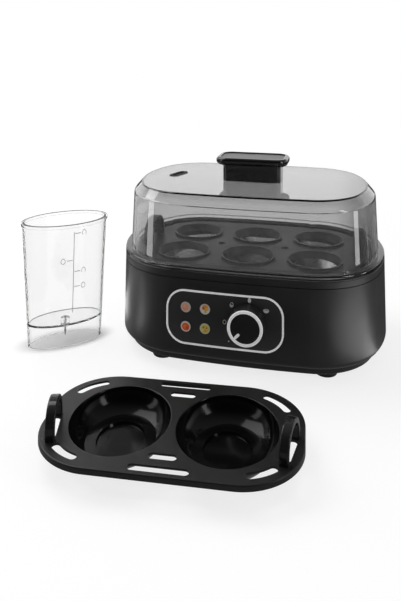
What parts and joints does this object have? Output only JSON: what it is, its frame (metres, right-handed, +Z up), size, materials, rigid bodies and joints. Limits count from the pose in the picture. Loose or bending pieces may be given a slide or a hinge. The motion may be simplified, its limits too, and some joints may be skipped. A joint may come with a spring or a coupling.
{
  "type": "electric egg cooker",
  "caption": "Oval countertop egg steamer with smoked clear lid, egg rack, rotary control, a two-bowl poaching tray and a clear measuring cup with piercing needle.",
  "frame": {"origin": "on the table, in the middle of the set's footprint", "axes": "+Z up, +X along the cooker's length to the right seen from its front, -Y towards the front with the knob"},
  "size_m": [0.2756, 0.2823, 0.142],
  "materials": {
    "housing_black": "fine satin moulding",
    "rack_black": "satin moulding",
    "tray_black": "satin plate with glossy bowls",
    "gloss_black": "high gloss",
    "knob_black": "satin",
    "panel_black": "semi-gloss",
    "bright_trim": "bright satin",
    "picture_print": "printed under clear lacquer",
    "smoked_clear": "clear smoked",
    "water_clear": "clear",
    "foot_rubber": "matt",
    "seal_silicone": "matt",
    "pan_steel": "pressed sheet",
    "zinc_steel": "zinc plated",
    "heater_steel": "heat-tinted",
    "switch_body": "matt",
    "pale_insulator": "matt",
    "wire_jacket": "matt silicone"
  },
  "bodies": {
    "base": {"base_housing": "housing_black", "bottom_cover": "housing_black", "feet": "foot_rubber", "cover_screws": "zinc_steel", "rim_ring": "housing_black", "water_pan": "pan_steel", "pan_gasket": "seal_silicone", "pan_screws": "zinc_steel", "heating_element": "heater_steel", "element_clamp": "zinc_steel", "clamp_nut": "zinc_steel", "thermostat": "pale_insulator", "thermostat_bracket": "zinc_steel", "thermostat_nuts": "zinc_steel", "thermal_fuse": "pale_insulator", "fuse_clip": "zinc_steel", "control_panel": "panel_black", "panel_bezel": "bright_trim", "picture_discs": "picture_print", "rotary_switch": "switch_body", "switch_nut": "zinc_steel", "cord_gland": "foot_rubber", "gland_nut": "switch_body", "terminal_block": "pale_insulator", "wiring": "wire_jacket"},
    "lid": {"lid_shell": "smoked_clear", "vent_insert": "gloss_black", "lid_handle": "gloss_black", "handle_cap": "gloss_black", "handle_screws": "zinc_steel"},
    "rack": {"egg_rack": "rack_black"},
    "knob": {"timer_knob": "knob_black", "knob_ring": "bright_trim", "knob_pointer": "bright_trim", "switch_shaft": "zinc_steel"},
    "tray": {"poaching_tray": "tray_black"},
    "cup": {"measuring_cup": "water_clear", "piercing_needle": "zinc_steel"}
  },
  "joints": [
    {"name": "lid_lift", "type": "slide", "parent": "base", "child": "lid", "axis": [0, 0, 1], "range_m": [0, 0.2]},
    {"name": "rack_lift", "type": "slide", "parent": "base", "child": "rack", "axis": [0, 0, 1], "range_m": [0, 0.1]},
    {"name": "knob_turn", "type": "hinge", "parent": "base", "child": "knob", "pos_m": [0.0413, -0.00578, 0.0392], "axis": [0, 1, 0], "range_deg": [0, 180]},
    {"name": "tray_lift", "type": "slide", "parent": "base", "child": "tray", "axis": [0, 0, 1], "range_m": [0, 0.08]},
    {"name": "cup_lift", "type": "slide", "parent": "base", "child": "cup", "axis": [0, 0, 1], "range_m": [0, 0.08]}
  ],
  "couplings": [
    {"joint": "rack_lift", "follows": "lid_lift", "ratio": 0.5}
  ]
}
